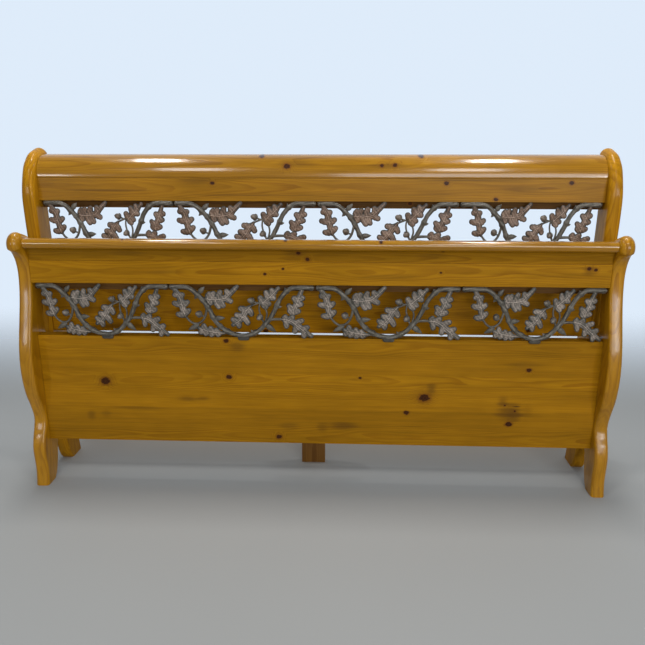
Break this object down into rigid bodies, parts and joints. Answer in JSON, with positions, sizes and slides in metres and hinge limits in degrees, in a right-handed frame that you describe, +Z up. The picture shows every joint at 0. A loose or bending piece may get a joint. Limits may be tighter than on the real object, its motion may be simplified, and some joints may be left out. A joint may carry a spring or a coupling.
{
  "type": "sleigh bed",
  "caption": "Knocked-down pine sleigh bed: scrolled headboard and footboard with cast oak-leaf openwork, hook-on side rails, slats and centre beam.",
  "frame": {"origin": "on the floor, at the middle of the whole set seen from above", "axes": "+X to the right seen from the foot of the bed, along the boards; +Y from the footboard to the headboard; +Z up"},
  "size_m": [2.05, 0.5318, 1.192],
  "materials": {
    "varnished_pine": "amber semi-gloss varnish over knotty pine",
    "shaded_pine": "darker stained pine in the recesses",
    "raw_pine": "unvarnished sawn pine",
    "leaf_casting_iron": "pewter-grey patina with coppery highlights",
    "rail_plate_steel": "zinc-plated pressed steel"
  },
  "bodies": {
    "root": {"centre_beam": "raw_pine", "centre_beam_leg": "raw_pine", "footboard_beam_cleat": "raw_pine", "footboard_core_batten": "shaded_pine", "footboard_cove_moulding": "varnished_pine", "footboard_crest_roll": "varnished_pine", "footboard_frieze_board": "varnished_pine", "footboard_inner_rail_board": "varnished_pine", "footboard_leaf_casting_1": "leaf_casting_iron", "footboard_leaf_casting_2": "leaf_casting_iron", "footboard_leaf_casting_3": "leaf_casting_iron", "footboard_leaf_casting_4": "leaf_casting_iron", "footboard_panel": "varnished_pine", "footboard_panel_batten": "varnished_pine", "footboard_post_left": "varnished_pine", "footboard_post_right": "varnished_pine", "footboard_strike_plate_left": "rail_plate_steel", "footboard_strike_plate_right": "rail_plate_steel", "headboard_back_rail_board": "varnished_pine", "headboard_beam_cleat": "raw_pine", "headboard_centre_leg": "shaded_pine", "headboard_core_batten": "shaded_pine", "headboard_cove_moulding": "varnished_pine", "headboard_crest_roll": "varnished_pine", "headboard_front_rail_board": "varnished_pine", "headboard_leaf_casting_1": "leaf_casting_iron", "headboard_leaf_casting_2": "leaf_casting_iron", "headboard_leaf_casting_3": "leaf_casting_iron", "headboard_leaf_casting_4": "leaf_casting_iron", "headboard_panel": "varnished_pine", "headboard_panel_lower_batten": "shaded_pine", "headboard_panel_top_batten": "varnished_pine", "headboard_post_left": "varnished_pine", "headboard_post_right": "varnished_pine", "headboard_stretcher": "varnished_pine", "headboard_strike_plate_left": "rail_plate_steel", "headboard_strike_plate_right": "rail_plate_steel", "rail_hook_plate_left_foot": "rail_plate_steel", "rail_hook_plate_left_head": "rail_plate_steel", "rail_hook_plate_right_foot": "rail_plate_steel", "rail_hook_plate_right_head": "rail_plate_steel", "side_rail_left": "varnished_pine", "side_rail_right": "varnished_pine", "slat_1": "raw_pine", "slat_2": "raw_pine", "slat_3": "raw_pine", "slat_4": "raw_pine", "slat_5": "raw_pine", "slat_ledger_left": "raw_pine", "slat_ledger_right": "raw_pine"}
  },
  "joints": []
}
